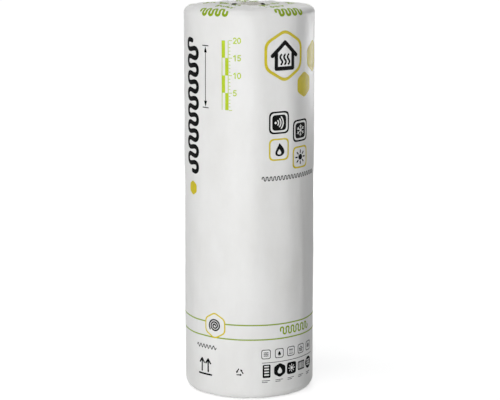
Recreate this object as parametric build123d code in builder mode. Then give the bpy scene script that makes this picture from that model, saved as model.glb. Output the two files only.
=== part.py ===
from build123d import *
import os
from math import atan2, degrees, sqrt

# Insulation roll: a long felt of mineral wool wound up tight and standing on its end,
# in a printed film that is turned in over both ends and leaves a round opening in each.
# Millimetres, +Z up along the roll, origin at the middle of the bottom end, print towards -Y.

# Wrapped roll, measured over the film
roll_height = 1200.0
roll_diameter = 400.0
foot_radius = 29.0
shoulder_radius = 20.0
top_dome_radius = 2000.0

# Film
film_wall = 1.0
film_clearance = 0.5
end_opening_diameter = 116.0

# Wound felt
eye_diameter = 24.0
turn_count = 9
turn_gap = 2.0
turn_valley_depth = 9.0
turn_edge_radius = 6.5

roll_radius = roll_diameter / 2
opening_radius = end_opening_diameter / 2
eye_radius = eye_diameter / 2
felt_inset = film_wall + film_clearance
turn_pitch = (roll_radius - felt_inset - eye_radius) / turn_count
turn_rounding = min(turn_edge_radius, 0.45 * (turn_pitch - turn_gap), 0.9 * turn_valley_depth)

# The top end is a shallow dome, at full height where the film stops at the rim of its opening.
# The shoulder's arc runs into it without a kink, so both arcs share a line through their centres.
dome_centre_z = roll_height - sqrt(top_dome_radius**2 - opening_radius**2)
shoulder_centre_r = roll_radius - shoulder_radius
dome_to_shoulder_z = sqrt((top_dome_radius - shoulder_radius) ** 2 - shoulder_centre_r**2)
shoulder_centre_z = dome_centre_z + dome_to_shoulder_z
shoulder_turn = degrees(atan2(dome_to_shoulder_z, shoulder_centre_r))


def top_height(radius, inset):
    """Height of the top end at a radius, drawn in by inset from the outside of the film."""
    return dome_centre_z + sqrt((top_dome_radius - inset) ** 2 - radius**2)


def half_section(inset):
    """Half of the roll's upright section, drawn in by inset from the outside of the film."""
    with BuildSketch() as section:
        with BuildLine():
            foot = CenterArc((roll_radius - foot_radius, foot_radius), foot_radius - inset, -90, 90)
            side = Line(foot @ 1, (roll_radius - inset, shoulder_centre_z))
            shoulder = CenterArc(
                (shoulder_centre_r, shoulder_centre_z), shoulder_radius - inset, 0, shoulder_turn
            )
            dome = CenterArc(
                (0, dome_centre_z), top_dome_radius - inset, shoulder_turn, 90 - shoulder_turn
            )
            Line(dome @ 1, (0, inset))
            Line((0, inset), foot @ 0)
        make_face()
    return section.sketch


def felt_end_z(radius, up):
    """Height of the felt's end at a radius: the top end where up is 1, the bottom where it is -1."""
    return top_height(radius, felt_inset) if up == 1 else felt_inset


def valley_section(joint_radius, up):
    """Outline of the valley between two turns, with the turns' edges rounded on both sides."""
    inner_wall = joint_radius - turn_gap / 2
    outer_wall = joint_radius + turn_gap / 2
    inner_z = felt_end_z(inner_wall - turn_rounding, up)
    outer_z = felt_end_z(outer_wall + turn_rounding, up)
    floor_z = outer_z - up * turn_valley_depth
    open_z = inner_z + up * turn_valley_depth
    with BuildSketch() as section:
        with BuildLine():
            inner_centre = (inner_wall - turn_rounding, inner_z - up * turn_rounding)
            outer_centre = (outer_wall + turn_rounding, outer_z - up * turn_rounding)
            inner = CenterArc(inner_centre, turn_rounding, up * 90, up * -90)
            outer = CenterArc(outer_centre, turn_rounding, 180, up * -90)
            Polyline(inner @ 1, (inner_wall, floor_z), (outer_wall, floor_z), outer @ 0)
            Polyline(outer @ 1, ((outer @ 1).X, open_z), ((inner @ 0).X, open_z), inner @ 0)
        make_face()
    return section.sketch


def eye_section():
    """Half outline of the eye, from below the bottom end to above the top, with rounded mouths."""
    mouth_radius = eye_radius + turn_rounding
    top_z = felt_end_z(mouth_radius, 1)
    bottom_z = felt_end_z(mouth_radius, -1)
    with BuildSketch() as section:
        with BuildLine():
            top = CenterArc((mouth_radius, top_z - turn_rounding), turn_rounding, 90, 90)
            bottom = CenterArc((mouth_radius, bottom_z + turn_rounding), turn_rounding, 180, 90)
            Line(top @ 1, bottom @ 0)
            Polyline(
                bottom @ 1,
                (mouth_radius, bottom_z - turn_valley_depth),
                (0, bottom_z - turn_valley_depth),
                (0, top_z + turn_valley_depth),
                (mouth_radius, top_z + turn_valley_depth),
                top @ 0,
            )
        make_face()
    return section.sketch


# Film: one skin round the side, turned in over both ends
with BuildPart() as film_wrap:
    with BuildSketch(Plane.XZ):
        add(half_section(0))
        add(half_section(film_wall), mode=Mode.SUBTRACT)
        with Locations((0, roll_height / 2)):
            Rectangle(2 * opening_radius, 2 * roll_height, mode=Mode.SUBTRACT)
    revolve(axis=Axis.Z)

# Felt: one wound body with its eye, and a rounded valley between two turns on each end
with BuildPart() as wool_roll:
    with BuildSketch(Plane.XZ):
        add(half_section(felt_inset))
        add(eye_section(), mode=Mode.SUBTRACT)
        for turn in range(1, turn_count):
            joint_radius = eye_radius + turn * turn_pitch
            add(valley_section(joint_radius, 1), mode=Mode.SUBTRACT)
            add(valley_section(joint_radius, -1), mode=Mode.SUBTRACT)
    revolve(axis=Axis.Z)

film_wrap.part.label = "film_wrap"
wool_roll.part.label = "wool_roll"

os.makedirs("parts", exist_ok=True)
export_step(film_wrap.part, "parts/film_wrap.step")
export_step(wool_roll.part, "parts/wool_roll.step")
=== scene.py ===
import math

import bpy
import numpy as np
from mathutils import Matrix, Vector, noise
from mathutils.geometry import delaunay_2d_cdt


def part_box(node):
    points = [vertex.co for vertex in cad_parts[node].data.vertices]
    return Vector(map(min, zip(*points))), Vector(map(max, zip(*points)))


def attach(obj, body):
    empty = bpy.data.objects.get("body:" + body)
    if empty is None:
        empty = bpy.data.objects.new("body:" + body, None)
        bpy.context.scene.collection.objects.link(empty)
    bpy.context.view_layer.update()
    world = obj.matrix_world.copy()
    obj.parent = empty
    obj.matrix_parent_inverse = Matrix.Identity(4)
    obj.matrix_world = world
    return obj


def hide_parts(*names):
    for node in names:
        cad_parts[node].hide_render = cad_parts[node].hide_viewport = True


# Insulation roll: the printed film round the roll, turned in over both ends,
# and the wound felt that shows in the opening at each end. Metres, +Z up, print towards -Y.
# The print is laid out in millimetres on the flat film: u round the roll from the middle
# of the front, positive to the right, and v up the film, which is the height on the side.

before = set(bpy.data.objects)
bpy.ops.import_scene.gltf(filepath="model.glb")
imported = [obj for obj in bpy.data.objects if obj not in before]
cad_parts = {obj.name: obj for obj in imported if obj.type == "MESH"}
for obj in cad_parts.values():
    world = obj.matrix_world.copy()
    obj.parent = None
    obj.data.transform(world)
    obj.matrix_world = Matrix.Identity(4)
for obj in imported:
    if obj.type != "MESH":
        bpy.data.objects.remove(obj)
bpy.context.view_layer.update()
_, film_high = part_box("film_wrap")
_, felt_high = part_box("wool_roll")

MM = 0.001

# The wrapped roll, as in the solids
ROLL_RADIUS = film_high.x
ROLL_HEIGHT = film_high.z
FOOT_RADIUS = 0.029
SHOULDER_RADIUS = 0.020
TOP_DOME_RADIUS = 2.0
OPENING_RADIUS = 0.058
EYE_RADIUS = 0.012
TURN_COUNT = 9
FELT_RADIUS = felt_high.x
TURN_PITCH = (FELT_RADIUS - EYE_RADIUS) / TURN_COUNT

# The photographed view: a long lens from about 7 m away and 2 m up, looking slightly down
IMAGE_WIDTH_PX = 500
CAMERA_FOCAL_PX = 2288.5
CAMERA_SENSOR_MM = 36.0
CAMERA_DISTANCE = 6.966
CAMERA_HEIGHT = 2.038
CAMERA_PITCH_DEG = 11.747
CAMERA_SIDE = 0.0022


def make_camera():
    """The camera of the photograph."""
    data = bpy.data.cameras.new("photo_camera")
    data.sensor_fit = "HORIZONTAL"
    data.sensor_width = CAMERA_SENSOR_MM
    data.lens = CAMERA_FOCAL_PX / IMAGE_WIDTH_PX * CAMERA_SENSOR_MM
    camera = bpy.data.objects.new("photo_camera", data)
    bpy.context.scene.collection.objects.link(camera)
    camera.location = (CAMERA_SIDE, -CAMERA_DISTANCE, CAMERA_HEIGHT)
    camera.rotation_euler = (math.radians(90 - CAMERA_PITCH_DEG), 0, 0)
    bpy.context.scene.camera = camera


# Steps, noise and rings, which several sections use

def smooth_step(low, high, values):
    """0 below low, 1 above high, and a smooth rise between."""
    share = np.clip((values - low) / (high - low), 0, 1)
    return share * share * (3 - 2 * share)


def noise_at(points, size, shift):
    """Perlin noise from about -1 to 1. Its features have one size, or one for each axis."""
    scaled = np.asarray(points) / np.asarray(size) + shift
    values = [noise.noise(Vector(point)) for point in scaled.reshape(-1, 3).tolist()]
    return np.array(values).reshape(scaled.shape[:-1])


def noise_sum(points, layers, salt=0.0):
    """Several noises on top of each other, each with its height, size and start."""
    return sum(height * noise_at(points, size, salt + start) for height, size, start in layers)


def hash_share(numbers, salt):
    """A fixed share from 0 to 1 for each whole number."""
    return np.modf(np.abs(np.sin((numbers + 1) * 12.9898 + salt * 78.233)) * 43758.5453)[0]


def round_axis(radius, angle, height):
    """Points round the roll. Angle 0 is the front, and it grows to the right."""
    parts = np.broadcast_arrays(radius * np.sin(angle), -radius * np.cos(angle), height)
    return np.stack(parts, axis=-1)


def noise_ring(radius, angle, height):
    """Places for noise that runs round the roll without a seam."""
    return np.stack([radius * np.cos(angle), radius * np.sin(angle), height], axis=-1)


# Film surface

FILM_COLUMNS = 480
BOTTOM_END_ROWS = 24
FOOT_ROWS = 12
SIDE_ROWS = 84
SHOULDER_ROWS = 14
TOP_END_ROWS = 52
SHOULDER_ROW = BOTTOM_END_ROWS + FOOT_ROWS + SIDE_ROWS

# The film's inner face, which only shows under the raw edges. Past EDGE_ROWS it is coarse and
# follows the profile, not the folds, so it cuts the outer face in places. At the bottom it lies
# deeper, because the folds rise from the floor there
INNER_COLUMNS = FILM_COLUMNS // 4
INNER_ROW_STEP = 6
INNER_ROW_MARGIN = 4
INNER_DEPTH = 0.0022
BOTTOM_INNER_DEPTH = 0.011
EDGE_THICKNESS = 0.0004
EDGE_ROWS = (1, 5, 10)

# Shares of the flat map for the outer face, the seam beside it and the inner face
OUTER_MAP_SHARE = 0.94
SEAM_MAP_SHARE = OUTER_MAP_SHARE + 0.002
INNER_MAP_SHARES = (OUTER_MAP_SHARE + 0.005, 0.995)

# The top end isn't wound quite level: it slopes up to the front and sags a little between its rim
# and its middle, and the film's side is drawn up with it from LIFT_START on
TOP_LIFT = 0.0045
TOP_SLOPE = 0.0088
TOP_DISH = 0.0020
LIFT_START = 0.85

# Lumps in the film's side, each with its height, size and start of noise, and where they fade out
SIDE_LUMPS = (
    (0.0007, (0.055, 0.055, 0.07), 3.1),
    (0.0008, (0.05, 0.05, 0.30), 7.7),
    (0.0003, (0.02, 0.02, 0.05), 1.3),
)
LUMPS_FADE = 0.04

# Slack in the film's side, as shallow upright hollows: angle in degrees, middle height, half
# length and depth. Where the depth is negative, it is a rounded crease that stands out
DENT_WIDTH = 0.017
DENT_SWAY = 0.045
DENT_BENDS = 2.6
SLACK_DENTS = (
    (52, 0.40, 0.36, -0.0020),
    (70, 0.46, 0.34, 0.0012),
    (44, 0.68, 0.20, 0.0009),
    (-63, 0.38, 0.26, 0.0009),
    (24, 0.55, 0.22, 0.0006),
    (118, 0.50, 0.34, 0.0017),
    (171, 0.62, 0.36, 0.0015),
    (-142, 0.42, 0.30, 0.0018),
    (-101, 0.64, 0.26, 0.0012),
)

# The film's lap at the back: how far it stands out, and the angle over which that fades
LAP_HEIGHT = 0.0012
LAP_ANGLE = 0.5

# The bottom end's film is drawn up from the floor, inwards of where it rests
FLOOR_CLEARANCE = 0.006
FLOOR_REST = 0.03

# How the raw edges at the openings waver, and how far that reaches into the film
EDGE_WAVER = ((0.005, 0.35, 2.2), (0.002, 0.08, 4.2))
WAVER_REACH = 0.05

# Folds on the ends: where each end's start, and where their noise starts. Starts and ramps are
# distances inwards from where the film turns in, and negative on the side
TOP_FOLDS = (-0.06, 0.0)
BOTTOM_FOLDS = (-0.03, 11.0)
PLEAT_COUNT = 26
PLEAT_HEIGHT = 0.0036
PLEAT_REACH = 0.075
PLEAT_STAGGER = 0.035
PLEAT_SWIRL = 0.9
SWIRL_LENGTH = 0.14
RIDGE_RING = 4.5
RIDGE_HEIGHT = 0.0030
RIDGE_RAMP = (0.008, 0.09)
CRUMPLE_HEIGHT = 0.0020
CRUMPLE_SIZE = (0.030, 0.030, 0.05)
CRUMPLE_RAMP = (0.012, 0.05)
FINE_CRUMPLE_HEIGHT = 0.0015
FINE_CRUMPLE_SIZE = (0.012, 0.012, 0.02)
FLUTE_HEIGHT = 0.0004
FLUTE_SIZE = (0.011, 0.011, 0.16)
FLUTE_RAMP = (-0.06, 0.02)
FLAT_RIM_RAMP = (0.11, 0.145)
FLAT_RIM_SHARE = 0.45


def film_profile():
    """Radius, height, outward normal and length along the film, one row for each line of the mesh."""
    foot_r = ROLL_RADIUS - FOOT_RADIUS
    shoulder_r = ROLL_RADIUS - SHOULDER_RADIUS
    dome_z = ROLL_HEIGHT - math.sqrt(TOP_DOME_RADIUS**2 - OPENING_RADIUS**2)
    shoulder_drop = math.sqrt((TOP_DOME_RADIUS - SHOULDER_RADIUS) ** 2 - shoulder_r**2)
    shoulder_z = dome_z + shoulder_drop
    shoulder_turn = math.atan2(shoulder_drop, shoulder_r)
    rim_turn = math.acos(OPENING_RADIUS / TOP_DOME_RADIUS)
    rows = []
    for r in np.linspace(OPENING_RADIUS, foot_r, BOTTOM_END_ROWS, endpoint=False):
        rows.append((r, 0.0, 0.0, -1.0))
    for a in np.linspace(-math.pi / 2, 0, FOOT_ROWS, endpoint=False):
        rows.append(arc_row(foot_r, FOOT_RADIUS, FOOT_RADIUS, a))
    for z in np.linspace(FOOT_RADIUS, shoulder_z, SIDE_ROWS, endpoint=False):
        rows.append((ROLL_RADIUS, z, 1.0, 0.0))
    for a in np.linspace(0, shoulder_turn, SHOULDER_ROWS, endpoint=False):
        rows.append(arc_row(shoulder_r, shoulder_z, SHOULDER_RADIUS, a))
    for a in np.linspace(shoulder_turn, rim_turn, TOP_END_ROWS):
        rows.append(arc_row(0.0, dome_z, TOP_DOME_RADIUS, a))
    rows = np.array(rows)
    steps = np.hypot(*np.diff(rows[:, :2], axis=0).T)
    length = np.concatenate([[0], np.cumsum(steps)])
    side_start = BOTTOM_END_ROWS + FOOT_ROWS
    return rows, length - length[side_start] + FOOT_RADIUS


def arc_row(centre_r, centre_z, radius, angle):
    """One row on an arc of the profile: its radius and height, and the outward normal's two parts."""
    across, up = math.cos(angle), math.sin(angle)
    return centre_r + radius * across, centre_z + radius * up, across, up


def top_lift(points):
    """How far the top end stands above the solid's dome at each point."""
    rim = ROLL_RADIUS - SHOULDER_RADIUS
    radius = np.hypot(points[..., 0], points[..., 1])
    away = np.minimum(radius / rim, 1)
    front = -points[..., 1] / np.maximum(radius, 1e-6)
    return TOP_LIFT * away**2 + TOP_SLOPE * away * front - TOP_DISH * np.sin(math.pi * away)


def end_folds(angle, inward, salt):
    """Height of the pleats on an end, which all lap one way."""
    ring = noise_ring(1.0, angle, inward * 4 + salt)
    phase = angle / (2 * math.pi) * PLEAT_COUNT + 0.55 * noise_at(ring, 0.45, salt)
    phase = phase + PLEAT_SWIRL * inward / SWIRL_LENGTH + 0.16 * noise_at(ring, 0.11, salt + 5)
    number = np.floor(phase)
    across = phase - number
    number = np.mod(number, PLEAT_COUNT)
    height = 0.25 + 0.75 * hash_share(number, salt)
    width = 0.35 + 0.6 * hash_share(number, salt + 1)
    start = PLEAT_STAGGER * hash_share(number, salt + 2)
    slope = np.clip(1 - across / width, 0, 1)
    reach = smooth_step(0, PLEAT_REACH, inward - start)
    return PLEAT_HEIGHT * height * slope**1.2 * reach


def side_lumps(side, angle, height):
    """How far the film's side stands out: its lumps and its slack."""
    lumps = noise_sum(side, SIDE_LUMPS)
    for turn, middle, reach, depth in SLACK_DENTS:
        path = math.radians(turn) + DENT_SWAY * np.sin((height - middle) / reach * DENT_BENDS + turn)
        off = (angle - path) * ROLL_RADIUS / DENT_WIDTH
        ends = np.clip(1 - ((height - middle) / reach) ** 2, 0, 1) ** 1.5
        lumps -= depth * np.exp(-off * off) * ends
    return lumps


def film_surface():
    """Grid of the film's points and normals, and the length along the film for each row."""
    rows, v = film_profile()
    angle = np.arange(FILM_COLUMNS) * 2 * math.pi / FILM_COLUMNS - math.pi
    radius, height, across, up = rows.T[..., None]
    side = round_axis(radius, angle, height)
    angles = 0 * height + angle

    # Distance inwards along the film from where each end starts to turn in, negative on the side
    top_in = (v - v[SHOULDER_ROW])[:, None] + 0 * angle
    bottom_in = (FOOT_RADIUS - v)[:, None] + 0 * angle
    folds = np.zeros_like(angles)
    for inward, (start, salt) in ((top_in, TOP_FOLDS), (bottom_in, BOTTOM_FOLDS)):
        folded = inward > start
        folds[folded] = end_height(side[folded], angles[folded], inward[folded], salt)

    lap = LAP_HEIGHT * (1 - smooth_step(0, LAP_ANGLE, angles + math.pi))
    on_side = 1 - smooth_step(0, LUMPS_FADE, np.maximum(top_in, bottom_in))
    shift = side_lumps(side, angle, height) * on_side + folds + lap
    shift = np.where(bottom_in > FLOOR_REST, np.minimum(shift - FLOOR_CLEARANCE, 0), shift)
    points = side + shift[..., None] * round_axis(across, angle, up)
    points[..., 2] = np.maximum(points[..., 2], 0)
    points[..., 2] += top_lift(side) * smooth_step(LIFT_START, rows[SHOULDER_ROW, 1], height)

    # The raw edge of the film round each opening isn't cut true
    rim = round_axis(1.0, angle, 0.0)
    near_rim = 1 - smooth_step(0, WAVER_REACH, radius - OPENING_RADIUS)
    points[..., :2] += (near_rim * noise_sum(rim, EDGE_WAVER))[..., None] * rim[:, :2]
    return points, grid_normals(points), v


def end_height(points, angle, inward, salt):
    """Height of everything that the film does where it turns in over an end."""
    ramp = smooth_step(*CRUMPLE_RAMP, inward)
    crumple = 1 - 2 * np.abs(noise_at(points, CRUMPLE_SIZE, salt + 0.7))
    fine = 1 - 2 * np.abs(noise_at(points, FINE_CRUMPLE_SIZE, salt + 1.9))
    flutes = noise_at(points, FLUTE_SIZE, salt + 2.3)
    near_edge = smooth_step(*FLUTE_RAMP, inward) * (1 - 0.6 * ramp)
    height = ramp * (CRUMPLE_HEIGHT * (crumple - 0.3) + FINE_CRUMPLE_HEIGHT * fine)
    height += FLUTE_HEIGHT * flutes * near_edge

    # Ridges that gather towards the opening, as the sheet gets too wide for the shrinking ring
    around = angle + 0.35 * noise_at(points, 0.09, salt + 6)
    ring = noise_ring(RIDGE_RING, around, inward * 7 + salt)
    ridges = 1 - 2.4 * np.abs(noise_at(ring, 1.0, salt + 8))
    height += RIDGE_HEIGHT * ridges * smooth_step(*RIDGE_RAMP, inward)
    flat_rim = 1 - FLAT_RIM_SHARE * smooth_step(*FLAT_RIM_RAMP, inward)
    return (height + end_folds(angle, inward, salt)) * flat_rim


def grid_normals(points):
    """Outward unit normals of a grid whose columns close into a ring."""
    around = np.roll(points, -1, axis=1) - np.roll(points, 1, axis=1)
    along = np.gradient(points, axis=0)
    normals = np.cross(around, along)
    return normals / np.linalg.norm(normals, axis=-1, keepdims=True)


def new_mesh(name, points, faces, material):
    """A smooth mesh object in the scene."""
    mesh = bpy.data.meshes.new(name)
    mesh.from_pydata(points, [], faces)
    mesh.polygons.foreach_set("use_smooth", [True] * len(mesh.polygons))
    mesh.materials.append(material)
    mesh.update()
    piece = bpy.data.objects.new(name, mesh)
    bpy.context.scene.collection.objects.link(piece)
    return piece


def inner_rings(points, normals):
    """Rings of the film's inner face, from the edge of the top opening to that of the bottom one."""
    depths = np.linspace(EDGE_THICKNESS, INNER_DEPTH / 2, len(EDGE_ROWS))
    top = [points[-row] - normals[-row] * depth for row, depth in zip(EDGE_ROWS, depths)]
    bottom = [points[row - 1] - normals[row - 1] * depth for row, depth in zip(EDGE_ROWS, depths)]
    rows, _ = film_profile()
    angle = np.arange(INNER_COLUMNS) * 2 * math.pi / INNER_COLUMNS - math.pi
    margin = EDGE_ROWS[-1] + INNER_ROW_MARGIN
    middle = []
    for row in range(len(points) - 1 - margin, margin, -INNER_ROW_STEP):
        r, z, across, up = rows[row]
        depth = BOTTOM_INNER_DEPTH if row < BOTTOM_END_ROWS else INNER_DEPTH
        z -= up * depth
        ring = round_axis(r - across * depth, angle, z)
        ring[:, 2] += top_lift(ring) * smooth_step(LIFT_START, rows[SHOULDER_ROW, 1], z)
        middle.append(ring)
    return [*top, *middle, *bottom[::-1]]


def loop_faces(counts):
    """Faces between rings that follow each other in a closed loop, each corner a ring and a column."""
    faces = []
    for low, count in enumerate(counts):
        high = (low + 1) % len(counts)
        if counts[high] == count:
            for k in range(count):
                faces.append(((low, k), (low, k + 1), (high, k + 1), (high, k)))
        elif counts[high] < count:
            for k in range(counts[high]):
                faces += fan(low, 4 * k, high, k)
        else:
            for k in range(count):
                faces += [face[::-1] for face in fan(high, 4 * k, low, k)]
    return faces


def fan(fine, f, coarse, c):
    """Faces between four steps of a fine ring and one step of a coarse ring."""
    return [
        ((fine, f), (fine, f + 1), (coarse, c)),
        ((fine, f + 1), (fine, f + 2), (coarse, c)),
        ((fine, f + 2), (coarse, c + 1), (coarse, c)),
        ((fine, f + 2), (fine, f + 3), (coarse, c + 1)),
        ((fine, f + 3), (fine, f + 4), (coarse, c + 1)),
    ]


def make_film(points, normals, v, material):
    """The film as one closed skin, with a flat map of the sheet and a strip for its inner face."""
    rings = [*points, *inner_rings(points, normals)]
    counts = [len(ring) for ring in rings]
    starts = np.concatenate([[0], np.cumsum(counts)])
    corners = loop_faces(counts)
    faces = [[int(starts[ring]) + column % counts[ring] for ring, column in face] for face in corners]
    piece = new_mesh("film", np.concatenate(rings).tolist(), faces, material)

    row_count = len(v)
    ring_v = np.concatenate([
        (v - v[0]) / (v[-1] - v[0]) * OUTER_MAP_SHARE,
        np.linspace(*INNER_MAP_SHARES, len(rings) - row_count),
    ])
    flat_map = []
    for face in corners:
        inner = any(ring >= row_count for ring, _ in face)
        for ring, column in face:
            place = max(ring_v[ring], SEAM_MAP_SHARE) if inner else ring_v[ring]
            flat_map += [column / counts[ring], place]
    piece.data.uv_layers.new(name="OFBake").data.foreach_set("uv", flat_map)

    # The raw edges at the two openings are sharp
    sharp_rings = (0, row_count - 1, row_count, len(rings) - 1)
    sharp = np.zeros(len(piece.data.vertices), dtype=int)
    for number, ring in enumerate(sharp_rings):
        sharp[starts[ring]:starts[ring + 1]] = number + 1
    ends = np.zeros(len(piece.data.edges) * 2, dtype=int)
    piece.data.edges.foreach_get("vertices", ends)
    first, second = sharp[ends[0::2]], sharp[ends[1::2]]
    piece.data.edges.foreach_set("use_edge_sharp", ((first > 0) & (first == second)).tolist())
    return piece


# Felt

FELT_COLUMNS = 256
FELT_SHOWN_RADIUS = 0.072
FELT_SHOWN_ROWS = 56
FELT_SIDE_ROWS = 6
FELT_BORE_ROWS = 22
VALLEY_DEPTH = 0.0065
TURN_EDGE = 0.0065
LAYERS_PER_TURN = 9
LAYER_HEIGHT = 0.0010
LAYER_SPREAD = 22
FELT_LUMPS = ((0.0010, 0.012, 3), (0.0007, 0.005, 4))
FELT_LOWEST_DROP = -0.0005
BORE_ROUGHNESS = 0.0012

# The felt lies deeper than its solid where the film covers it, so that the film's dents and folds
# don't reach it. In the top opening the wool bulges, and it is back at that depth just before the
# film's raw edge. At the bottom it lies deeper still where the film starts to cover it
FELT_SIDE_RADIUS = FELT_RADIUS - 0.0015
TOP_FELT_SINK = 0.003
TOP_FELT_BULGE = 0.0095
TOP_BULGE_FALL = (0.029, 0.052)
BOTTOM_FELT_SINK = 0.006
BOTTOM_FELT_LIFT = 0.008
BOTTOM_LIFT_RISE = (0.75 * OPENING_RADIUS, 1.14 * OPENING_RADIUS)

# The felt's hidden edge: where it starts to drop, by how much, and where its side starts
FELT_EDGE_RADIUS = 0.16
FELT_EDGE_DROP = 0.006
FELT_SIDE_DROP = 0.05
FELT_HIDDEN_RADII = (0.10, 0.14, 0.168, FELT_SIDE_RADIUS - 0.008, FELT_SIDE_RADIUS)

# For each end: whether it is the top, and where its noise starts
FELT_ENDS = ((False, 31.0), (True, 57.0))


def felt_end_drop(radius, angle, points, salt):
    """How deep the felt's cut end lies: the spiral's valley, the eye's mouth and the wool's lumps."""
    turns = (radius - EYE_RADIUS) / TURN_PITCH - angle / (2 * math.pi)
    turns = turns + 0.05 * noise_at(points, 0.03, salt)
    from_valley = np.abs(turns - np.round(turns)) * TURN_PITCH
    started = smooth_step(0.0, 0.35, turns + angle / (2 * math.pi))
    edge = np.clip(1 - from_valley / (TURN_EDGE + 0.001), 0, 1)
    valley = VALLEY_DEPTH * (1 - np.sqrt(np.clip(1 - edge**1.7, 0, 1))) * started
    mouth = np.clip(1 - (radius - EYE_RADIUS) / TURN_EDGE, 0, 1)
    valley += TURN_EDGE * (1 - np.sqrt(np.clip(1 - mouth**2, 0, 1)))
    layer = radius / TURN_PITCH * LAYERS_PER_TURN
    spread = points[..., :2] * LAYER_SPREAD
    layers = noise_at(np.stack([layer, spread[..., 0], spread[..., 1]], -1), 1.0, salt)
    rough = noise_sum(points, FELT_LUMPS, salt) + LAYER_HEIGHT * layers
    return np.maximum(valley + rough, FELT_LOWEST_DROP)


def felt_end(radius, angle, up, salt):
    """Points of the felt's cut end, at the top or the bottom, for radii and angles."""
    points = round_axis(radius, angle, 0.0)
    drop = felt_end_drop(radius + 0 * angle, angle + 0 * radius, points, salt)
    drop += np.where(radius > FELT_EDGE_RADIUS, FELT_EDGE_DROP, 0)
    drop += np.where(radius >= FELT_SIDE_RADIUS, FELT_SIDE_DROP - FELT_EDGE_DROP, 0)
    if up:
        dome = TOP_DOME_RADIUS - np.sqrt(TOP_DOME_RADIUS**2 - radius**2)
        bulge = TOP_FELT_BULGE * (1 - smooth_step(*TOP_BULGE_FALL, radius))
        level = felt_high.z - TOP_FELT_SINK + bulge - dome
        points[..., 2] = level - drop + top_lift(points)
    else:
        lift = BOTTOM_FELT_LIFT * smooth_step(*BOTTOM_LIFT_RISE, radius)
        points[..., 2] = BOTTOM_FELT_SINK + lift + drop
    return points


def inner_shares(count):
    """Shares for a number of rings spread evenly between two others."""
    return np.linspace(0, 1, count + 2)[1:-1]


def make_felt(material):
    """The wound felt: both cut ends in detail where they show, and plain where the film hides it."""
    angle = np.arange(FELT_COLUMNS) * 2 * math.pi / FELT_COLUMNS
    outward = round_axis(1.0, angle, 0.0)[:, :2]
    shown = np.linspace(EYE_RADIUS, FELT_SHOWN_RADIUS, FELT_SHOWN_ROWS)
    radii = np.array([*shown, *FELT_HIDDEN_RADII])[:, None]
    bottom, top = [felt_end(radii, angle, up, salt) for up, salt in FELT_ENDS]
    side = [bottom[-1] * (1 - share) + top[-1] * share for share in inner_shares(FELT_SIDE_ROWS)]
    bore = []
    for share in inner_shares(FELT_BORE_ROWS):
        ring = top[0] * (1 - share) + bottom[0] * share
        ring[:, :2] += outward * (BORE_ROUGHNESS * noise_at(ring, 0.012, 8.0))[:, None]
        bore.append(ring)
    rings = [*bottom, *side, *top[::-1], *bore]
    corners = loop_faces([FELT_COLUMNS] * len(rings))
    faces = [[ring * FELT_COLUMNS + column % FELT_COLUMNS for ring, column in face] for face in corners]
    return new_mesh("felt", np.concatenate(rings).tolist(), faces, material)


# Loose fibres on the felt's cut ends, where the openings show them

FIBRE_SEED = 12
FIBRE_COUNT = 1300
FIBRE_STEPS = 4
FIBRE_SIDES = 3

# How unevenly the fibres head and bend, in radians, and their least and greatest sizes
FIBRE_HEADING = 0.5
FIBRE_BEND = 0.25
FIBRE_STEP_LENGTHS = (0.0012, 0.0055)
FIBRE_ARCHES = (0.0002, 0.0016)
FIBRE_RADII = (0.00006, 0.00016)
FIBRE_LIFT = 0.0001


def fibre_paths(random, up, salt):
    """Middle points of the fibres on one end: short, bent, mostly along the turns."""
    shape = (FIBRE_COUNT, 1)
    radius = np.sqrt(random.uniform((EYE_RADIUS + 0.001) ** 2, OPENING_RADIUS**2, shape))
    angle = random.uniform(0, 2 * math.pi, shape)
    way = random.normal(0, FIBRE_HEADING, shape)
    heading = angle + way + math.pi * random.integers(0, 2, shape)
    bend = random.normal(0, FIBRE_BEND, shape)
    step = random.uniform(*FIBRE_STEP_LENGTHS, shape)
    steps = np.arange(FIBRE_STEPS + 1)
    turned = heading + bend * steps
    x = radius * np.sin(angle) + np.cumsum(step * np.cos(turned), axis=1)
    y = -radius * np.cos(angle) + np.cumsum(step * np.sin(turned), axis=1)
    away = np.maximum(np.hypot(x, y), EYE_RADIUS - 0.002)
    around = np.mod(np.arctan2(x, -y), 2 * math.pi)
    points = felt_end(away, around, up, salt)
    arch = np.sin(math.pi * steps / FIBRE_STEPS) * random.uniform(*FIBRE_ARCHES, shape)
    points[..., 2] += (1 if up else -1) * (arch + FIBRE_LIFT)
    return points


def make_fibres(material):
    """Fine wisps that lie over each other on both ends, each one a thin closed tube."""
    random = np.random.default_rng(FIBRE_SEED)
    points, faces = [], []
    for up, salt in FELT_ENDS:
        paths = fibre_paths(random, up, salt)
        thickness = random.uniform(*FIBRE_RADII, (FIBRE_COUNT, 1, 1))
        along = np.gradient(paths, axis=1)
        across = np.cross(along, (0.0, 0.0, 1.0))
        across /= np.linalg.norm(across, axis=-1, keepdims=True)
        for fibre in range(FIBRE_COUNT):
            start = len(points)
            for step in range(FIBRE_STEPS + 1):
                for side in range(FIBRE_SIDES):
                    a = 2 * math.pi * side / FIBRE_SIDES
                    offset = across[fibre, step] * math.cos(a) + np.array((0, 0, math.sin(a)))
                    points.append(paths[fibre, step] + offset * thickness[fibre, 0])
            for step in range(FIBRE_STEPS):
                low = start + step * FIBRE_SIDES
                high = low + FIBRE_SIDES
                for side in range(FIBRE_SIDES):
                    after = (side + 1) % FIBRE_SIDES
                    faces.append((low + side, high + side, high + after, low + after))
            last = start + FIBRE_STEPS * FIBRE_SIDES
            faces.append(tuple(start + side for side in range(FIBRE_SIDES)))
            faces.append(tuple(last + side for side in reversed(range(FIBRE_SIDES))))
    return new_mesh("wool_fibres", np.array(points).tolist(), faces, material)


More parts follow.
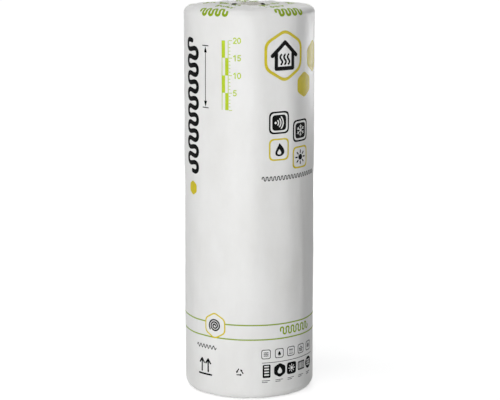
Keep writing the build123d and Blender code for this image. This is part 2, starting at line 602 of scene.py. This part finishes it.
# Print: outlines are closed lists of (u, v) in millimetres on the flat film,
# and a mark is the outlines that are inked and those that are left bare in them

SHEET_WIDTH = 2 * math.pi * ROLL_RADIUS / MM
PRINT_LIFT = 0.00012
CORNER_STEPS = 5


def circle(u, v, radius, count=36):
    """A circle's outline."""
    turns = np.arange(count) * 2 * math.pi / count
    return [(u + radius * math.cos(a), v + radius * math.sin(a)) for a in turns]


def regular(u, v, radius, sides, turn_deg):
    """A regular polygon with its corners on a circle, the first one at an angle."""
    turns = [math.radians(turn_deg) + 2 * math.pi * k / sides for k in range(sides)]
    return [(u + radius * math.cos(a), v + radius * math.sin(a)) for a in turns]


def box(u, v, width, height):
    """A rectangle about a middle."""
    w, h = width / 2, height / 2
    return [(u - w, v - h), (u + w, v - h), (u + w, v + h), (u - w, v + h)]


def rounded(outline, radius):
    """The outline with each corner rounded off, radius away from the corner on both sides."""
    points = []
    for k, corner in enumerate(outline):
        corner = Vector(corner)
        before = (Vector(outline[k - 1]) - corner).normalized() * radius + corner
        after = (Vector(outline[(k + 1) % len(outline)]) - corner).normalized() * radius + corner
        for step in range(CORNER_STEPS + 1):
            t = step / CORNER_STEPS
            bend = before * (1 - t) ** 2 + corner * 2 * t * (1 - t) + after * t * t
            points.append((bend.x, bend.y))
    return points


def stroke(path, width):
    """Outlines of a line with round joints along a path."""
    outlines = [circle(u, v, width / 2, 14) for u, v in path]
    for (u0, v0), (u1, v1) in zip(path, path[1:]):
        length = math.hypot(u1 - u0, v1 - v0)
        across, up = -(v1 - v0) / length * width / 2, (u1 - u0) / length * width / 2
        outlines.append([
            (u0 - across, v0 - up),
            (u1 - across, v1 - up),
            (u1 + across, v1 + up),
            (u0 + across, v0 + up),
        ])
    return outlines


def arc(u, v, radius, start_deg, end_deg, steps=10):
    """A path along part of a circle."""
    turns = np.radians(np.linspace(start_deg, end_deg, steps + 1))
    return [(u + radius * math.cos(a), v + radius * math.sin(a)) for a in turns]


def band(path, width):
    """One outline round a smooth path, with round ends."""
    path = np.array(path)
    along = np.gradient(path, axis=0)
    along /= np.linalg.norm(along, axis=1)[:, None]
    side = np.stack([-along[:, 1], along[:, 0]], axis=1) * width / 2
    outline = [*(path + side), *(path - side)[::-1]]
    return [
        [tuple(point) for point in outline],
        circle(*path[0], width / 2, 20),
        circle(*path[-1], width / 2, 20),
    ]


def meander(u, v, length, swing, waves, bulge, upright):
    """The wavy path that stands for insulation on a drawing, along u or upright along v."""
    turns = np.linspace(0, 1, 30 * waves + 1)
    across = swing / 2 * np.sin(turns * waves * 2 * math.pi)
    along = (turns - 0.5) * length - bulge * np.sin(turns * waves * 4 * math.pi)
    if upright:
        return list(zip(u + across, v + along))
    return list(zip(u + along, v + across))


def anticlockwise(outline):
    """The outline, turned round if it runs clockwise."""
    u, v = np.array(outline).T
    area = np.sum(u * np.roll(v, -1) - np.roll(u, -1) * v)
    return outline if area > 0 else outline[::-1]


def cut_mark(inked, bare, row_v):
    """Flat points and triangles of a mark, split along the edges of the film's triangles."""
    everything = np.concatenate([np.array(outline) for outline in inked])
    (u_low, v_low), (u_high, v_high) = everything.min(axis=0), everything.max(axis=0)
    column_step = SHEET_WIDTH / FILM_COLUMNS
    first = math.floor(u_low / column_step)
    last = math.ceil(u_high / column_step)
    low = max(int(np.searchsorted(row_v, v_low)) - 1, 0)
    high = min(int(np.searchsorted(row_v, v_high)), len(row_v) - 1)

    points, faces, edges = [], [], []

    def mesh_line(start_column, start_row, end_column, end_row):
        edges.append((len(points), len(points) + 1))
        for column, row in ((start_column, start_row), (end_column, end_row)):
            points.append(Vector((column * column_step, row_v[row])))

    for outline in [*inked, *bare]:
        faces.append(list(range(len(points), len(points) + len(outline))))
        points += [Vector(point) for point in anticlockwise(outline)]
    for column in range(first, last + 1):
        mesh_line(column, low, column, high)
    for row in range(low, high + 1):
        mesh_line(first, row, last, row)
    for row in range(low, high):
        for column in range(first, last):
            mesh_line(column, row, column + 1, row + 1)
    flat, _, pieces, _, _, sources = delaunay_2d_cdt(points, edges, faces, 0, 1e-5)
    kept = []
    for piece, source in zip(pieces, sources):
        if source and min(source) < len(inked) and max(source) < len(inked):
            kept.append(piece)
    used = sorted({corner for piece in kept for corner in piece})
    place = {corner: k for k, corner in enumerate(used)}
    return [tuple(flat[k]) for k in used], [[place[c] for c in piece] for piece in kept]


def on_film(flat, points, normals, row_v):
    """Points and normals on the film's mesh for flat print coordinates."""
    flat = np.array(flat)
    column = (flat[:, 0] / SHEET_WIDTH + 0.5) * FILM_COLUMNS
    left = np.floor(column).astype(int)
    a = (column - left)[:, None]
    row = np.clip(np.searchsorted(row_v, flat[:, 1], side="right") - 1, 0, len(row_v) - 2)
    b = ((flat[:, 1] - row_v[row]) / (row_v[row + 1] - row_v[row]))[:, None]
    left = np.mod(left, FILM_COLUMNS)
    right = np.mod(left + 1, FILM_COLUMNS)

    def mixed(grid):
        near, far = grid[row, left], grid[row + 1, right]
        below = near + a * (grid[row, right] - near) + b * (far - grid[row, right])
        above = near + b * (grid[row + 1, left] - near) + a * (far - grid[row + 1, left])
        return np.where(a >= b, below, above)

    normal = mixed(normals)
    return mixed(points), normal / np.linalg.norm(normal, axis=1)[:, None]


def make_print(name, material, marks):
    """All marks of one ink as one thin mesh that lies on the film."""
    row_v = film_v / MM
    flat, faces = [], []
    for inked, bare in marks:
        points, pieces = cut_mark(inked, bare, row_v)
        faces += [[corner + len(flat) for corner in piece] for piece in pieces]
        flat += points
    points, normals = on_film(flat, film_points, film_normals, row_v)
    piece = new_mesh(name, (points + normals * PRINT_LIFT).tolist(), faces, material)
    piece.data.normals_split_custom_set_from_vertices(normals.tolist())
    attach(piece, "root")
    return piece


# Symbols, drawn about (0, 0) for a height of 1: the outlines that are inked, and those left bare

BOLD_LINE = 0.125
LINE = 0.095
FINE_LINE = 0.065


def lines(paths, width=LINE):
    """Outlines of several lines with round joints."""
    outlines = []
    for path in paths:
        outlines += stroke(path, width)
    return outlines


def drop_outline(width, height, lean=0.0):
    """A drop with its point at the top, or leaning as a flame does."""
    outline = []
    for a in np.linspace(0, 2 * math.pi, 40, endpoint=False):
        up = height / 2 * math.cos(a)
        across = width / 2 * 1.3 * math.sin(a) * math.sin(a / 2) ** 1.5
        outline.append((across + lean * math.sin(3 * (up / height + 0.5)), up))
    return outline


def house_symbol():
    """A house with warm air rising in it."""
    roof = [(-0.46, 0.0), (0, 0.42), (0.46, 0.0)]
    walls = [(-0.32, 0.06), (-0.32, -0.40), (0.32, -0.40), (0.32, 0.06)]
    inked = lines([roof, walls], BOLD_LINE)
    for x in (-0.14, 0, 0.14):
        inked += band(meander(x, -0.12, 0.30, 0.08, 1, 0, True), FINE_LINE)
    return inked, []


def sound_symbol():
    """Sound spreading from a point."""
    inked = [circle(-0.32, 0, 0.09, 20)]
    for radius in (0.25, 0.45, 0.65):
        inked += band(arc(-0.32, 0, radius, -42, 42), LINE)
    return inked, []


def snow_symbol():
    """A snow crystal."""
    inked = []
    for turn in range(0, 360, 60):
        a = math.radians(turn + 30)
        tip = (0.44 * math.cos(a), 0.44 * math.sin(a))
        joint = (0.24 * math.cos(a), 0.24 * math.sin(a))
        inked += stroke([(0, 0), tip], FINE_LINE)
        for side in (-0.75, 0.75):
            branch = (joint[0] + 0.15 * math.cos(a + side), joint[1] + 0.15 * math.sin(a + side))
            inked += stroke([joint, branch], FINE_LINE)
    return inked, []


def sun_symbol():
    """A sun with eight rays."""
    inked = [circle(0, 0, 0.19, 28)]
    for turn in range(0, 360, 45):
        across, up = math.cos(math.radians(turn)), math.sin(math.radians(turn))
        inked += stroke([(0.29 * across, 0.29 * up), (0.44 * across, 0.44 * up)], LINE)
    return inked, []


def flame_symbol():
    """A flame with a bare core."""
    core = [(x, y - 0.14) for x, y in drop_outline(0.30, 0.36)]
    return [drop_outline(0.72, 0.88, 0.06)], [core]


def drop_symbol():
    """A drop of water with a bare glint."""
    glint = band(arc(0, -0.17, 0.14, 190, 260, 6), 0.05)
    return [drop_outline(0.64, 0.84)], glint


def roll_symbol():
    """A roll seen on its end: one line wound up."""
    turns = np.linspace(0, 2.6 * 2 * math.pi, 70)
    radius = 0.05 + 0.37 * turns / turns[-1]
    return band(list(zip(radius * np.cos(turns), radius * np.sin(turns))), LINE), []


def upright_symbol():
    """Two arrows that point up from a bar, for the way that the roll stands."""
    inked = lines([[(-0.44, -0.42), (0.44, -0.42)]])
    for x in (-0.22, 0.22):
        inked += lines([[(x, -0.26), (x, 0.40)], [(x - 0.16, 0.20), (x, 0.42), (x + 0.16, 0.20)]])
    return inked, []


def layers_symbol():
    """Three soft layers on each other."""
    inked = []
    for y in (-0.28, 0, 0.28):
        inked += band(meander(0, y, 0.8, 0.14, 3, 0, False), LINE)
    return inked, []


def cycle_symbol():
    """Three arrows that follow each other round a triangle."""
    corners = [Vector(corner) for corner in regular(0, -0.06, 0.50, 3, 90)]
    inked = []
    for k, corner in enumerate(corners):
        after = corners[(k + 1) % 3]
        along = (after - corner).normalized()
        side = Vector((-along.y, along.x)) * 0.13
        tail, neck = corner.lerp(after, 0.20), corner.lerp(after, 0.55)
        tip = neck + along * 0.20
        inked += stroke([tuple(tail), tuple(neck)], 0.11)
        inked.append([tuple(neck - side), tuple(tip), tuple(neck + side)])
    return inked, []


def placed(symbol, u, v, size):
    """A symbol at its place and size."""
    inked, bare = symbol
    return moved(inked, u, v, size), moved(bare, u, v, size)


def moved(outlines, u, v, size):
    """Outlines at a place and a size."""
    return [[(u + x * size, v + y * size) for x, y in outline] for outline in outlines]


def frame_mark(outline_at, place, line_width, size):
    """The space between an outline of a size and the same outline two line widths smaller."""
    return [outline_at(place, size)], [outline_at(place, size - 2 * line_width)]


# Layout of the print: places are (u, v), and sizes are heights

HEXAGON = (113, 1058)
HEXAGON_SIZE = 156
HEXAGON_LINE = 10
HOUSE_SIZE = 92
SMALL_HEXAGONS = ((196, 968, 78), (256, 1046, 100), (-206, 650, 46))
SOLID_TILES = (((94, 864), sound_symbol), ((178, 832), snow_symbol))
OPEN_TILES = (((94, 782), flame_symbol), ((178, 750), sun_symbol))
TILE_SIZE = 68
TILE_LINE = 5
TILE_CORE = 47
SEAL = (-112, 231)
SEAL_SIZE = 86
SEAL_ROLL_SIZE = 50
UPRIGHT_SIGN = (-150, 96, 58)
CYCLE_SIGN = (-30, 92, 31)

# Meanders: place (but for the shoulder's), length, swing, waves, bulge, and whether upright
LONG_MEANDER = (-207, 900, 392, 54, 8, 7, True)
LONG_LINE = 14
SMALL_MEANDER = (-146, 160, 78, 11, 6, 0, False)
FLAT_MEANDER = (150, 694, 222, 12, 18, 0.8, False)
THIN_LINE = 2.8
WOVEN_MEANDER = (161, 216, 122, 22, 6, 2.5, False)
WOVEN_LINE = 5
SHOULDER_MEANDER = (98, 24, 4, 2.5, False)
SHOULDER_LINE = 8
SHOULDER_MARKS = 5
SHOULDER_START = -118
SHOULDER_ROWS_V = (1188, 1251, 1305)

STRIPES = (239, 193)
STRIPE_WIDTH = 4
STRIPE_TILT = 1.54
STRIPE_POINTS = 121

# Small tiles over solid signs, with a line between the rows and two short ones below each sign
SMALL_TILES = (52, 96, 140, 184, 228)
SMALL_TILES_V = 146
SMALL_TILE_SIZE = 30
SMALL_TILE_LINE = 2.2
SMALL_SYMBOL_SIZE = 18
SIGNS_RULE = (146, 119, 214, 1.8)
SIGNS_U = (54, 98, 143, 187, 229)
SIGNS_V = 92
CAPTION_LINES = ((0, 62, 26, 1.8), (-4, 57, 18, 1.8))

RULER = (-84, 903)
RULER_LENGTH = 200
RULER_BLOCK = 10
RULER_EDGE = 2.2
RULER_TICK = 2
RULER_NUMBER_GAP = 15
CENTIMETRE = 10
DIMENSION_U = -144
DIMENSION_ENDS = (905, 1085)
DIMENSION_LINE = 2.6


def hexagon_at(place, size):
    """A hexagon with rounded corners, standing on a corner."""
    return rounded(regular(*place, size / 2, 6, 90), size * 0.13)


def tile_at(place, size):
    """A square with rounded corners."""
    return rounded(box(*place, size, size), size * 0.24)


def dimension_line():
    """A dimension line with an arrow and a bar at each end."""
    low, high = DIMENSION_ENDS
    u = DIMENSION_U
    inked = [box(u, (low + high) / 2, DIMENSION_LINE, high - low - 16)]
    for end, way in ((low, 1), (high, -1)):
        inked.append([(u - 6, end + way * 20), (u, end + way * 2), (u + 6, end + way * 20)])
        inked.append(box(u, end, 24, THIN_LINE))
    return inked, []


def solid_signs():
    """A row of solid signs with bare figures in them."""
    slots_u, drop_u, sun_u, bars_u, waves_u = SIGNS_U
    v = SIGNS_V
    slots = [box(slots_u, v + y, 15, 4.5) for y in (-12, -3, 6, 15)]
    bars = [box(bars_u + x, v, 4, 20) for x in (-11, -3.5, 4, 11)]
    drop, _ = placed(drop_symbol(), drop_u, v, 26)
    sun, _ = placed(sun_symbol(), sun_u, v, 27)
    waves, _ = placed(layers_symbol(), waves_u, v, 26)
    return [
        ([rounded(box(slots_u, v, 25, 42), 4)], slots),
        ([hexagon_at((drop_u, v), 46)], drop),
        ([tile_at((sun_u, v), 38)], sun),
        ([rounded(box(bars_u, v, 34, 28), 4)], bars),
        ([circle(waves_u, v, 19)], waves),
    ]


def black_marks():
    """Everything that is printed in black."""
    marks = [
        (band(meander(*LONG_MEANDER), LONG_LINE), []),
        dimension_line(),
        placed(house_symbol(), *HEXAGON, HOUSE_SIZE),
        placed(roll_symbol(), *SEAL, SEAL_ROLL_SIZE),
        placed(upright_symbol(), *UPRIGHT_SIGN),
        placed(cycle_symbol(), *CYCLE_SIGN),
        (band(meander(*SMALL_MEANDER), THIN_LINE), []),
        ([box(*SIGNS_RULE)], []),
    ]
    for place, symbol in SOLID_TILES:
        marks.append(frame_mark(tile_at, place, TILE_LINE, TILE_SIZE))
        marks.append(([tile_at(place, TILE_CORE)], moved(symbol()[0], *place, 0.84 * TILE_CORE)))
    for place, symbol in OPEN_TILES:
        marks.append(placed(symbol(), *place, TILE_CORE))
    marks.append((band(meander(*FLAT_MEANDER), THIN_LINE), []))
    small_symbols = (layers_symbol, drop_symbol, upright_symbol, house_symbol, roll_symbol)
    for u, symbol in zip(SMALL_TILES, small_symbols):
        marks.append(frame_mark(tile_at, (u, SMALL_TILES_V), SMALL_TILE_LINE, SMALL_TILE_SIZE))
        marks.append(placed(symbol(), u, SMALL_TILES_V, SMALL_SYMBOL_SIZE))
        marks.append(([box(u + x, *line) for x, *line in CAPTION_LINES], []))
    return marks + solid_signs()


def yellow_marks():
    """Everything that is printed in yellow."""
    marks = [
        frame_mark(hexagon_at, HEXAGON, HEXAGON_LINE, HEXAGON_SIZE),
        frame_mark(hexagon_at, SEAL, TILE_LINE, SEAL_SIZE),
    ]
    for u, v, size in SMALL_HEXAGONS:
        marks.append(([hexagon_at((u, v), size)], []))
    for place, _ in OPEN_TILES:
        marks.append(frame_mark(tile_at, place, TILE_LINE, TILE_SIZE))
    return marks


def green_marks():
    """Stripes round the roll, a meander between them, and meanders round the shoulder and the top."""
    around = np.linspace(-SHEET_WIDTH / 2, SHEET_WIDTH / 2, STRIPE_POINTS)
    marks = []
    for v in STRIPES:
        path = [(u, v - STRIPE_TILT * math.sin(u / (ROLL_RADIUS / MM))) for u in around]
        low = [(u, v - STRIPE_WIDTH / 2) for u, v in path]
        high = [(u, v + STRIPE_WIDTH / 2) for u, v in path]
        marks.append(([low + high[::-1]], [hexagon_at(SEAL, SEAL_SIZE)]))
    marks.append((band(meander(*WOVEN_MEANDER), WOVEN_LINE), []))
    for k in range(SHOULDER_MARKS):
        u = SHOULDER_START + k * SHEET_WIDTH / SHOULDER_MARKS
        for v in SHOULDER_ROWS_V:
            marks.append((band(meander(u, v, *SHOULDER_MEANDER), SHOULDER_LINE), []))
    return marks


ZERO_TURNS = np.linspace(0, 2 * math.pi, 25)
DIGIT_PATHS = {
    "0": [(0.3 + 0.26 * math.cos(a), 0.5 + 0.42 * math.sin(a)) for a in ZERO_TURNS],
    "1": [(0.10, 0.74), (0.36, 0.92), (0.36, 0.08)],
    "2": [*arc(0.30, 0.68, 0.24, 160, -35, 8), (0.06, 0.08), (0.56, 0.08)],
    "5": [(0.52, 0.92), (0.14, 0.92), (0.10, 0.52), *arc(0.29, 0.34, 0.25, 110, -150, 10)],
}
DIGIT_HEIGHT = 18
DIGIT_STEP = 0.72 * DIGIT_HEIGHT
DIGIT_LINE = 3.2


def pale_green_marks():
    """A ruler in true centimetres, with plain numbers at every fifth."""
    u, v = RULER
    inked = []
    step = 5 * CENTIMETRE
    for k in range(RULER_LENGTH // step):
        side = 0.5 if k % 2 else 1.5
        inked.append(box(u + side * RULER_BLOCK, v + (k + 0.5) * step, RULER_BLOCK, step))
    for edge in (0, 2):
        inked.append(box(u + edge * RULER_BLOCK, v + RULER_LENGTH / 2, RULER_EDGE, RULER_LENGTH))
    right = u + 2 * RULER_BLOCK
    for k in range(RULER_LENGTH // CENTIMETRE + 1):
        reach = 10 if k % 5 == 0 else 5
        inked.append(box(right + RULER_TICK + reach / 2, v + k * CENTIMETRE, reach, RULER_TICK))
    marks = [(inked, [])]
    for number in range(5, RULER_LENGTH // CENTIMETRE + 1, 5):
        for place, digit in enumerate(str(number)):
            left = right + RULER_NUMBER_GAP + place * DIGIT_STEP
            low = v + number * CENTIMETRE - DIGIT_HEIGHT / 2
            path = moved([DIGIT_PATHS[digit]], left, low, DIGIT_HEIGHT)[0]
            marks.append((stroke(path, DIGIT_LINE), []))
    return marks


# Materials

BLACK_INK = (0.0016, 0.0018, 0.0018)
YELLOW_INK = (0.64, 0.53, 0.018)
GREEN_INK = (0.25, 0.37, 0.012)
PALE_GREEN_INK = (0.45, 0.60, 0.024)

# The two tones that a material varies between
FILM_TONES = ((0.765, 0.762, 0.748), (0.815, 0.815, 0.806))
FELT_TONES = ((0.84, 0.83, 0.78), (0.95, 0.94, 0.91))
FIBRE_TONES = ((0.80, 0.77, 0.68), (0.94, 0.93, 0.88))

WRINKLE_DEPTH = 0.0004
GRAIN_DEPTH = 0.00002
LAYER_DEPTH = 0.0004
TUFT_DEPTH = 0.0005


def new_material(name, color, roughness, specular):
    """A Principled material, with its node tree and its shader node."""
    material = bpy.data.materials.new(name)
    material.use_nodes = True
    shader = material.node_tree.nodes["Principled BSDF"]
    shader.inputs["Base Color"].default_value = (*color, 1)
    shader.inputs["Roughness"].default_value = roughness
    shader.inputs["Specular IOR Level"].default_value = specular
    return material, material.node_tree, shader


def add_node(tree, kind, values=None, **settings):
    """A new node with its settings, and with values on its named inputs."""
    node = tree.nodes.new("ShaderNode" + kind)
    for name, setting in settings.items():
        setattr(node, name, setting)
    for name, value in (values or {}).items():
        node.inputs[name].default_value = value
    return node


def add_noise(tree, scale, detail, stretch=(1, 1, 1), rough=0.5):
    """The value of a noise texture on the object's own coordinates."""
    place = add_node(tree, "TexCoord")
    shape = add_node(tree, "Mapping", {"Scale": stretch})
    texture = add_node(tree, "TexNoise", {"Scale": scale, "Detail": detail, "Roughness": rough})
    tree.links.new(place.outputs["Object"], shape.inputs["Vector"])
    tree.links.new(shape.outputs["Vector"], texture.inputs["Vector"])
    return texture.outputs["Fac"]


def add_range(tree, value, low, high, to_low, to_high, **settings):
    """The value stretched from one range to another, and held there."""
    limits = {"From Min": low, "From Max": high, "To Min": to_low, "To Max": to_high}
    node = add_node(tree, "MapRange", limits, **settings)
    tree.links.new(value, node.inputs["Value"])
    return node.outputs["Result"]


def add_colors(tree, value, tones, low, high):
    """A colour between two tones, as the value goes from low to high."""
    ramp = add_node(tree, "ValToRGB")
    for element, tone, position in zip(ramp.color_ramp.elements, tones, (low, high)):
        element.position = position
        element.color = (*tone, 1)
    tree.links.new(value, ramp.inputs["Fac"])
    return ramp.outputs["Color"]


def add_bumps(tree, shader, heights):
    """Bumps on top of each other, each from a height value and a distance in metres."""
    below = None
    for height, distance in heights:
        bump = add_node(tree, "Bump", {"Distance": distance})
        tree.links.new(height, bump.inputs["Height"])
        if below:
            tree.links.new(below, bump.inputs["Normal"])
        below = bump.outputs["Normal"]
    tree.links.new(below, shader.inputs["Normal"])


def add_satin(tree, shader, low, high, bumps=()):
    """The film's satin face: a roughness between low and high, and fine upright wrinkles."""
    sheen = add_noise(tree, 30, 4, (1, 1, 0.3))
    tree.links.new(add_range(tree, sheen, 0.3, 0.7, low, high), shader.inputs["Roughness"])
    wrinkles = add_noise(tree, 80, 4, (1, 1, 0.22), 0.55)
    add_bumps(tree, shader, ((wrinkles, WRINKLE_DEPTH), *bumps))


def film_material():
    """White polyethylene film: satin, a little uneven in tone, with a fine grain."""
    material, tree, shader = new_material("white_film", (0.80, 0.80, 0.79), 0.36, 0.3)
    blotches = add_noise(tree, 9, 6, (1, 1, 0.5), 0.6)
    tree.links.new(add_colors(tree, blotches, FILM_TONES, 0.32, 0.62), shader.inputs["Base Color"])
    grain = add_noise(tree, 900, 2)
    add_satin(tree, shader, 0.37, 0.48, ((grain, GRAIN_DEPTH),))
    return material


def ink_material(name, color, specular=0.12):
    """Printing ink on the film: a little uneven, on the film's own satin face."""
    material, tree, shader = new_material(name, color, 0.40, specular)
    uneven = add_noise(tree, 120, 5, (1, 1, 0.6), 0.65)
    thin = tuple(min(channel * 1.10 + 0.001, 1) for channel in color)
    full = tuple(channel * 0.96 for channel in color)
    tree.links.new(add_colors(tree, uneven, (thin, full), 0.35, 0.6), shader.inputs["Base Color"])
    add_satin(tree, shader, 0.38, 0.50)
    return material


def felt_material():
    """Pale mineral wool: fine layers round the middle, and tufts that catch the light."""
    material, tree, shader = new_material("mineral_wool", (0.85, 0.83, 0.78), 0.95, 0.15)
    place = add_node(tree, "TexCoord")
    waves = {"Scale": 170, "Distortion": 9, "Detail": 4, "Detail Scale": 0.5}
    layers = add_node(tree, "TexWave", waves, wave_type="RINGS", rings_direction="Z")
    tree.links.new(place.outputs["Object"], layers.inputs["Vector"])
    tufts = add_noise(tree, 320, 5, rough=0.7)
    both = add_node(tree, "Math", operation="ADD")
    tree.links.new(add_range(tree, layers.outputs["Fac"], 0, 1, 0, 0.45), both.inputs[0])
    tree.links.new(add_range(tree, tufts, 0.3, 0.7, 0, 0.55), both.inputs[1])
    color = add_colors(tree, both.outputs[0], FELT_TONES, 0.05, 0.80)
    tree.links.new(color, shader.inputs["Base Color"])
    add_bumps(tree, shader, ((layers.outputs["Fac"], LAYER_DEPTH), (tufts, TUFT_DEPTH)))
    return material


def fibre_material():
    """Single fibres and thin wisps, paler than the felt behind them."""
    material, tree, shader = new_material("wool_fibre", (0.88, 0.86, 0.80), 0.75, 0.25)
    tone = add_noise(tree, 200, 2)
    tree.links.new(add_colors(tree, tone, FIBRE_TONES, 0.35, 0.65), shader.inputs["Base Color"])
    return material


# Studio

# The floor's own light for the camera and for reflections: what the lamps leave missing from white
# close to the roll, where its shadow falls, and past the lamps
FLOOR_SIZE = 60
FLOOR_GLOW_NEAR = 0.66
FLOOR_GLOW_FAR = 1.0
FLOOR_NEAR = 2.3
FLOOR_FAR = 3.2


def split_by_view(tree, output, unseen, seen):
    """One shader for the light that a surface gives, and another where the camera or a gloss looks."""
    rays = add_node(tree, "LightPath")
    looks = add_node(tree, "Math", operation="MAXIMUM")
    tree.links.new(rays.outputs["Is Camera Ray"], looks.inputs[0])
    tree.links.new(rays.outputs["Is Glossy Ray"], looks.inputs[1])
    mix = add_node(tree, "MixShader")
    for node, socket in zip((looks, unseen, seen), mix.inputs):
        tree.links.new(node.outputs[0], socket)
    tree.links.new(mix.outputs[0], tree.nodes[output].inputs["Surface"])


def make_floor():
    """A plain pale floor that reaches far behind the roll, white to the camera and in reflections."""
    bpy.ops.mesh.primitive_plane_add(size=FLOOR_SIZE, location=(0, 0, 0))
    floor = bpy.context.object
    floor.name = "floor"
    material, tree, lit = new_material("floor", (0.82, 0.82, 0.82), 0.9, 0)
    white = add_node(tree, "Emission")
    place = add_node(tree, "TexCoord")
    away = add_node(tree, "VectorMath", operation="LENGTH")
    tree.links.new(place.outputs["Object"], away.inputs[0])
    limits = (FLOOR_NEAR, FLOOR_FAR, FLOOR_GLOW_NEAR, FLOOR_GLOW_FAR)
    glow = add_range(tree, away.outputs["Value"], *limits, interpolation_type="SMOOTHSTEP")
    tree.links.new(glow, white.inputs["Strength"])
    both = add_node(tree, "AddShader")
    tree.links.new(lit.outputs[0], both.inputs[0])
    tree.links.new(white.outputs[0], both.inputs[1])
    split_by_view(tree, "Material Output", lit, both)
    floor.data.materials.append(material)


def make_world():
    """Even grey light from all round, and plain white where the camera or a reflection looks."""
    world = bpy.data.worlds.new("studio")
    bpy.context.scene.world = world
    world.use_nodes = True
    tree = world.node_tree
    soft = tree.nodes["Background"]
    soft.inputs["Color"].default_value = (0.97, 0.98, 1.0, 1)
    soft.inputs["Strength"].default_value = 0.05
    white = add_node(tree, "Background", {"Color": (1, 1, 1, 1), "Strength": 1.0})
    split_by_view(tree, "World Output", soft, white)


def area_light(name, azimuth_deg, distance, height, size, watts):
    """A soft box that faces the middle of the roll. Azimuth 0 is the camera's side, 90 the right."""
    data = bpy.data.lights.new(name, "AREA")
    data.shape = "RECTANGLE"
    data.size, data.size_y = size
    data.energy = watts
    light = bpy.data.objects.new(name, data)
    bpy.context.scene.collection.objects.link(light)
    a = math.radians(azimuth_deg)
    light.location = (distance * math.sin(a), -distance * math.cos(a), height)
    aim = Vector((0, 0, ROLL_HEIGHT / 2)) - light.location
    light.rotation_euler = aim.to_track_quat("-Z", "Y").to_euler()
    return light


def gloss_panel(name, azimuth_deg, distance, height, size, watts):
    """An upright strip that only gives the film its soft highlights, as a lit wall would."""
    panel = area_light(name, azimuth_deg, distance, height, size, watts)
    panel.rotation_euler = (math.pi / 2, 0, math.radians(azimuth_deg))
    panel.visible_diffuse = False


def make_lights():
    """A large low key in front, weaker lamps round it, and panels that only show as highlights."""
    area_light("key", -14, 3.4, 0.5, (2.2, 1.4), 75.5)
    area_light("high", -14, 4.0, 3.4, (2.2, 1.6), 23)
    area_light("left", -85, 3.2, 1.1, (2.0, 2.0), 11)
    area_light("above", -60, 0.9, 3.5, (1.2, 1.2), 26)
    behind = area_light("behind", 180, 3.4, 1.3, (0.9, 2.0), 38)
    behind.visible_glossy = False

    gloss_panel("gloss_front", 14, 2.5, 1.1, (1.6, 2.4), 14)

    # These three end below the top end, which would mirror them otherwise
    gloss_panel("gloss_right", 60, 2.5, 0.55, (1.4, 1.25), 51)
    gloss_panel("gloss_side", 112, 2.2, 0.6, (0.35, 1.1), 4)
    gloss_panel("gloss_upper", 128, 1.3, 0.90, (0.5, 0.42), 5.0)

    # A weak lamp over the right side lights the end of the shoulder without a highlight
    over = area_light("over", 95, 0.8, 2.5, (0.4, 0.4), 5)
    over.visible_glossy = False


bpy.context.scene.view_settings.view_transform = "Standard"
make_camera()
make_world()
make_lights()
make_floor()

film_points, film_normals, film_v = film_surface()
film = make_film(film_points, film_normals, film_v, film_material())
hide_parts("film_wrap")
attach(film, "root")

felt = make_felt(felt_material())
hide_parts("wool_roll")
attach(felt, "root")

fibres = make_fibres(fibre_material())
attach(fibres, "root")

make_print("print_black", ink_material("black_ink", BLACK_INK, 0.02), black_marks())
make_print("print_yellow", ink_material("yellow_ink", YELLOW_INK), yellow_marks())
make_print("print_green", ink_material("green_ink", GREEN_INK), green_marks())
make_print("print_pale_green", ink_material("pale_green_ink", PALE_GREEN_INK), pale_green_marks())
